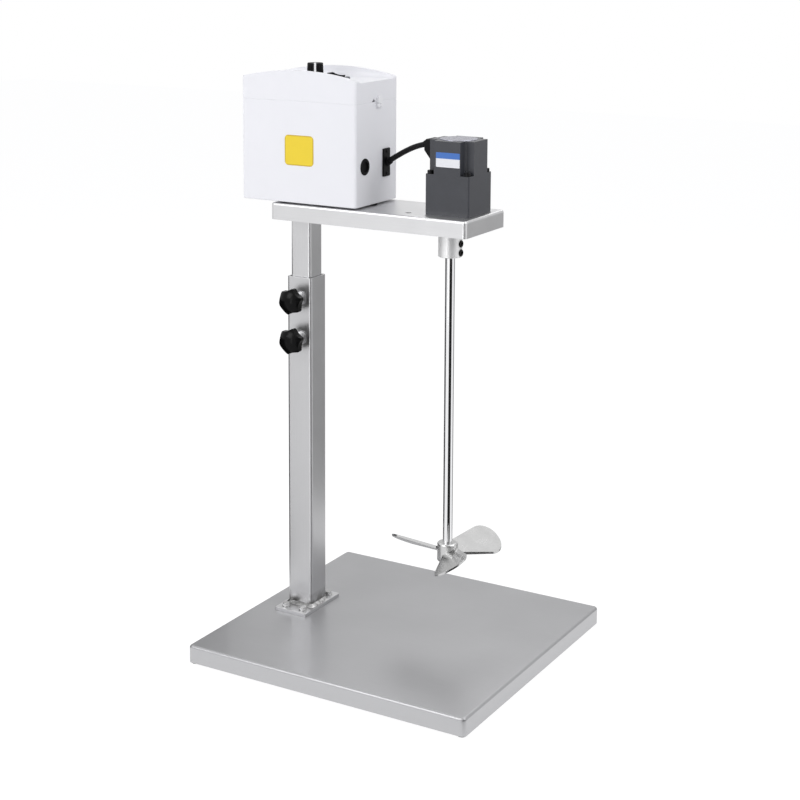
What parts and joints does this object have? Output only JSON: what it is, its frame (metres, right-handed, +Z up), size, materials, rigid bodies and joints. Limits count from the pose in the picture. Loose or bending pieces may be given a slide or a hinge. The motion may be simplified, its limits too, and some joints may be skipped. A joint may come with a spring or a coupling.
{
  "type": "drum agitator",
  "caption": "Laboratory agitator stand: a square column slides in another on a sheet base, and its head plate carries a geared motor with a long propeller shaft and a control box.",
  "frame": {"origin": "under the middle of the whole object, on the surface that its rubber pads stand on", "axes": "+Z up along the column, +X from the column towards the motor, -Y the side with the star knobs"},
  "size_m": [0.4592, 0.442, 0.8568],
  "materials": {
    "base_sheet": "satin stainless sheet",
    "pad_rubber": "black rubber pads",
    "foot_steel": "bright steel plate",
    "outer_tube": "satin square tube",
    "inner_tube": "satin square tube",
    "fastener_steel": "zinc-plated bolts, nuts and washers",
    "knob_plastic": "glossy black moulding",
    "knob_steel": "turned steel screw and ferrule",
    "pad_brass": "turned brass",
    "head_sheet": "satin stainless sheet",
    "motor_paint": "dark slate paint, satin",
    "cover_metal": "turned end cover",
    "motor_screw_steel": "bright socket screws",
    "bearing_steel": "ground bearing steel",
    "gear_steel": "cut steel gears and rotor shaft",
    "core_iron": "laminated iron",
    "winding_copper": "enamelled copper wire",
    "boot_rubber": "black moulded boot and gland",
    "lead_rubber": "black cable sheath",
    "coupling_steel": "turned bright steel",
    "black_screw": "black oxide screws",
    "shaft_steel": "ground and polished shaft",
    "propeller_steel": "polished stainless casting",
    "box_plastic": "white moulded housing",
    "catch_plastic": "white catch",
    "box_foot_rubber": "black spacers",
    "socket_plastic": "black connector plate",
    "socket_screw_steel": "small screws",
    "dial_plastic": "black fluted knob",
    "pointer_white": "white inlay",
    "switch_plastic": "black bezel and body",
    "rocker_plastic": "black rocker",
    "lamp_lens": "grey lens",
    "board_green": "circuit board",
    "inner_plastic": "moulded electrical parts"
  },
  "bodies": {
    "base": {"base_plate": "base_sheet", "base_pads": "pad_rubber", "foot_plate": "foot_steel", "foot_backing_plate": "foot_steel", "foot_bolts": "fastener_steel", "foot_washers": "fastener_steel", "foot_nuts": "fastener_steel", "outer_column": "outer_tube", "clamp_bosses": "outer_tube"},
    "upper_pad": {"upper_thrust_pad": "pad_brass"},
    "upper_knob": {"upper_knob_stud": "knob_steel", "upper_star_knob": "knob_plastic"},
    "lower_pad": {"lower_thrust_pad": "pad_brass"},
    "lower_knob": {"lower_knob_stud": "knob_steel", "lower_star_knob": "knob_plastic"},
    "head": {"inner_column": "inner_tube", "head_plate": "head_sheet", "gear_case": "motor_paint", "output_bearings": "bearing_steel", "idler_pin": "bearing_steel", "motor_housing": "motor_paint", "motor_cover": "cover_metal", "motor_screws": "motor_screw_steel", "motor_nuts": "fastener_steel", "stator_core": "core_iron", "stator_windings": "winding_copper", "rotor_bearings": "bearing_steel", "cable_boot": "boot_rubber", "motor_lead": "lead_rubber", "lead_gland": "boot_rubber", "box_body": "box_plastic", "box_lid": "box_plastic", "lid_catch": "catch_plastic", "box_feet": "box_foot_rubber", "box_screws": "fastener_steel", "box_nuts": "fastener_steel", "potentiometer": "inner_plastic", "switch_body": "switch_plastic", "pilot_lamp": "lamp_lens", "cable_grommet": "boot_rubber", "socket_plate": "socket_plastic", "socket_screws": "socket_screw_steel", "control_board": "board_green", "board_stand_offs": "inner_plastic", "run_capacitor": "inner_plastic", "terminal_block": "inner_plastic"},
    "stirrer": {"output_shaft": "shaft_steel", "output_gear": "gear_steel", "shaft_coupling": "coupling_steel", "coupling_screws": "black_screw", "stirrer_shaft": "shaft_steel", "propeller": "propeller_steel", "propeller_screw": "black_screw"},
    "idler": {"idler_gears": "gear_steel"},
    "rotor": {"rotor_shaft": "gear_steel", "rotor_core": "core_iron"},
    "speed_dial": {"potentiometer_shaft": "knob_steel", "speed_knob": "dial_plastic", "speed_knob_pointer": "pointer_white"},
    "power_rocker": {"switch_rocker": "rocker_plastic"}
  },
  "joints": [
    {"name": "height_slide", "type": "slide", "parent": "base", "child": "head", "axis": [0, 0, 1], "range_m": [-0.085, 0.2]},
    {"name": "upper_pad_slide", "type": "slide", "parent": "base", "child": "upper_pad", "axis": [0, -1, 0], "range_m": [0, 0.0038]},
    {"name": "upper_knob_turn", "type": "hinge", "parent": "upper_pad", "child": "upper_knob", "pos_m": [-0.15545, -0.043, 0.5069], "axis": [0, -1, 0], "range_deg": [0, 1080]},
    {"name": "lower_pad_slide", "type": "slide", "parent": "base", "child": "lower_pad", "axis": [0, -1, 0], "range_m": [0, 0.0038]},
    {"name": "lower_knob_turn", "type": "hinge", "parent": "lower_pad", "child": "lower_knob", "pos_m": [-0.15545, -0.043, 0.4469], "axis": [0, -1, 0], "range_deg": [0, 1080]},
    {"name": "output_spin", "type": "hinge", "parent": "head", "child": "stirrer", "pos_m": [0.08555, 0, 0.6], "axis": [0, 0, 1], "continuous": true},
    {"name": "idler_spin", "type": "hinge", "parent": "head", "child": "idler", "pos_m": [0.09155, 0.01569, 0.7], "axis": [0, 0, 1], "continuous": true},
    {"name": "rotor_spin", "type": "hinge", "parent": "head", "child": "rotor", "pos_m": [0.09755, 0, 0.74], "axis": [0, 0, 1], "continuous": true},
    {"name": "speed_knob_turn", "type": "hinge", "parent": "head", "child": "speed_dial", "pos_m": [-0.13955, 0, 0.845], "axis": [0, 0, -1], "range_deg": [0, 300]},
    {"name": "rocker_tilt", "type": "hinge", "parent": "head", "child": "power_rocker", "pos_m": [-0.10455, 0, 0.8358], "axis": [0, -1, 0], "range_deg": [0, 17]}
  ],
  "couplings": [
    {"joint": "upper_pad_slide", "follows": "upper_knob_turn", "m_per_rad": 0.00019894},
    {"joint": "lower_pad_slide", "follows": "lower_knob_turn", "m_per_rad": 0.00019894},
    {"joint": "idler_spin", "follows": "output_spin", "ratio": -2},
    {"joint": "rotor_spin", "follows": "output_spin", "ratio": 5}
  ]
}
